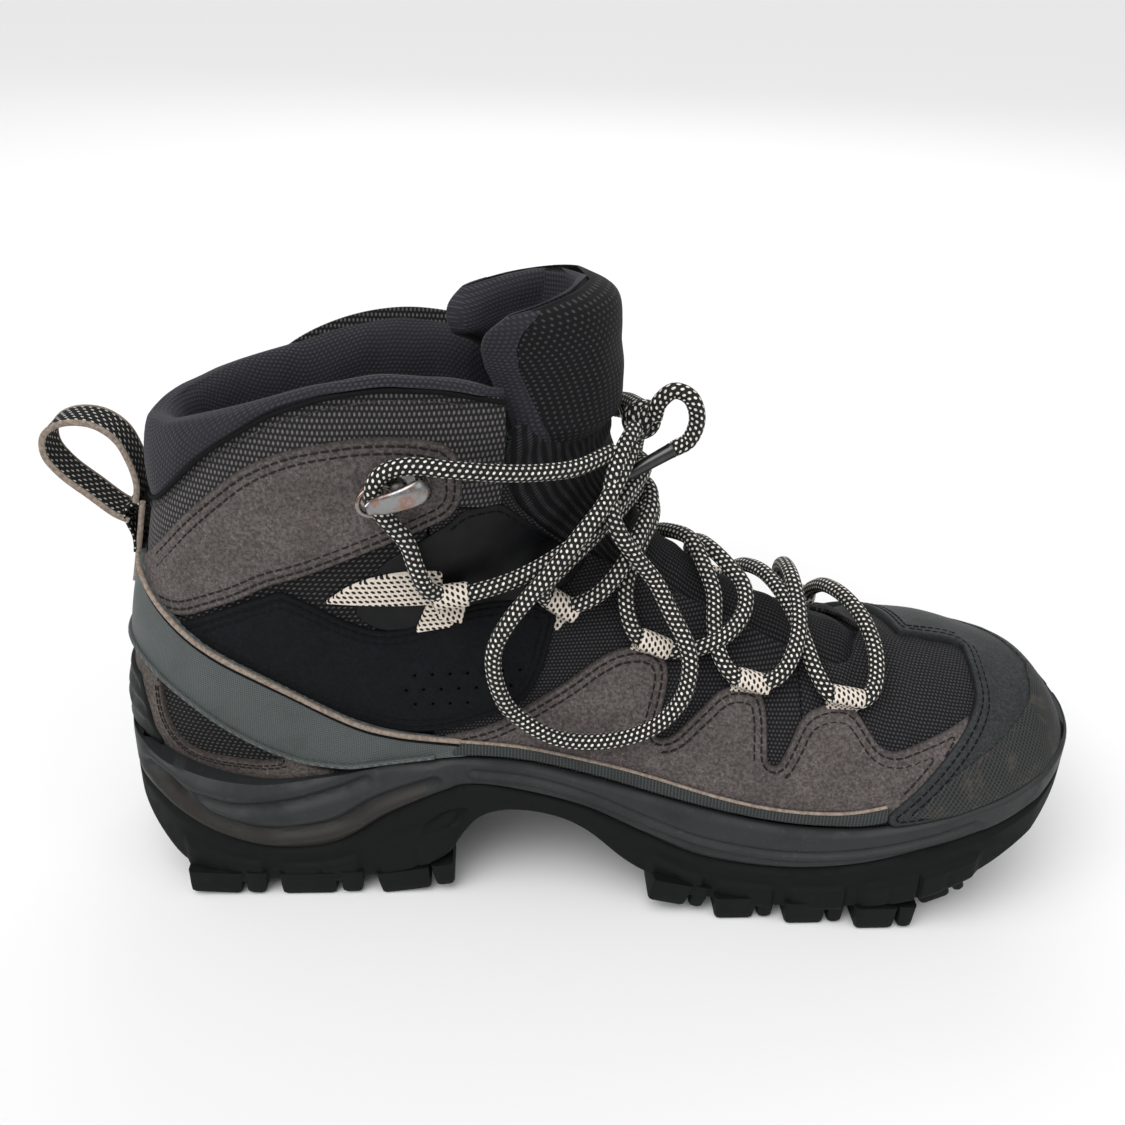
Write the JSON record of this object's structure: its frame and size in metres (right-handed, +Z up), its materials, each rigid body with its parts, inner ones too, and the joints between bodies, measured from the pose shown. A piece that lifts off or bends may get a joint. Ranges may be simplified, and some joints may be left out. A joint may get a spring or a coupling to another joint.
{
  "type": "hiking boot",
  "caption": "Mid-cut laced hiking boot with padded collar and tongue, suede and mesh upper, lugged sole, toe cap, lace hooks and a heel pull loop.",
  "frame": {"origin": "middle of the boot's box on the ground, its free lace ends not counted", "axes": "+X to the toe, +Y to the outer (lateral) side of this left boot, +Z up"},
  "size_m": [0.3236, 0.114, 0.1935],
  "materials": {
    "outsole_rubber": "moulded, matt",
    "midsole_foam": "moulded foam, satin",
    "chassis_plastic": "moulded",
    "board": "pressed fibre",
    "sockliner_fabric": "knit over foam",
    "lining_fabric": "spacer knit",
    "stiffener": "formed sheet",
    "foam": "open-cell foam",
    "upper_mesh": "coarse mesh",
    "grey_suede": "suede nap",
    "brown_suede": "suede nap",
    "black_nubuck": "fine nubuck",
    "eyestay_film": "smooth film",
    "strap_fabric": "woven, coated",
    "rand_rubber": "fine ribs",
    "toe_cap_leather": "coated leather",
    "toe_bumper_rubber": "fine hatching",
    "tongue_mesh": "coarse ribbed mesh",
    "gusset_fabric": "plain weave",
    "pale_webbing": "cream webbing with dark flecks",
    "hook_metal": "dark polished",
    "black_webbing": "black webbing with pale flecks",
    "lace_braid": "round braid with rows of pale dots",
    "aglet_plastic": "moulded tip"
  },
  "bodies": {
    "root": {"outsole_heel": "outsole_rubber", "outsole_forefoot": "outsole_rubber", "midsole": "midsole_foam", "arch_chassis": "chassis_plastic", "insole_board": "board", "sockliner": "sockliner_fabric", "bootie_lining": "lining_fabric", "heel_counter": "stiffener", "toe_puff": "stiffener", "vamp_mesh": "upper_mesh", "quarter_mesh_medial": "upper_mesh", "quarter_mesh_lateral": "upper_mesh", "heel_mesh": "upper_mesh", "collar_mesh": "upper_mesh", "collar_padding": "foam", "collar_lining": "lining_fabric", "ankle_suede_medial": "grey_suede", "ankle_suede_lateral": "grey_suede", "nubuck_quarter_medial": "black_nubuck", "nubuck_quarter_lateral": "black_nubuck", "eyestay_film_medial": "eyestay_film", "eyestay_film_lateral": "eyestay_film", "forefoot_suede_medial": "grey_suede", "forefoot_suede_lateral": "grey_suede", "heel_cup_suede": "brown_suede", "heel_strap": "strap_fabric", "heel_guard": "outsole_rubber", "rand_medial": "rand_rubber", "rand_lateral": "rand_rubber", "toe_cap": "toe_cap_leather", "toe_bumper": "toe_bumper_rubber", "tongue_lower": "tongue_mesh", "gusset_medial": "gusset_fabric", "gusset_lateral": "gusset_fabric", "lace_loops_medial": "pale_webbing", "lace_loops_lateral": "pale_webbing", "ankle_loop_medial": "pale_webbing", "ankle_loop_lateral": "pale_webbing", "hook_medial": "hook_metal", "hook_lateral": "hook_metal", "hook_rivets": "hook_metal", "pull_loop_base": "black_webbing", "lace": "lace_braid", "lace_knot": "lace_braid", "bow_loop_near": "lace_braid", "bow_loop_far": "lace_braid", "lace_tail_near": "lace_braid", "lace_tail_far": "lace_braid", "aglets": "aglet_plastic"},
    "tongue_flap": {"tongue_top": "tongue_mesh", "tongue_top_lining": "lining_fabric"},
    "pull_tab": {"pull_loop": "black_webbing"}
  },
  "joints": [
    {"name": "tongue_bend", "type": "hinge", "parent": "root", "child": "tongue_flap", "pos_m": [0.00726, 0.001, 0.16], "axis": [0, 1, 0], "range_deg": [-4, 30], "stiffness_Nm_per_rad": 0.3},
    {"name": "pull_loop_flop", "type": "hinge", "parent": "root", "child": "pull_tab", "pos_m": [-0.13724, 0.001, 0.1195], "axis": [0, 1, 0], "range_deg": [-35, 8], "stiffness_Nm_per_rad": 0.01}
  ]
}
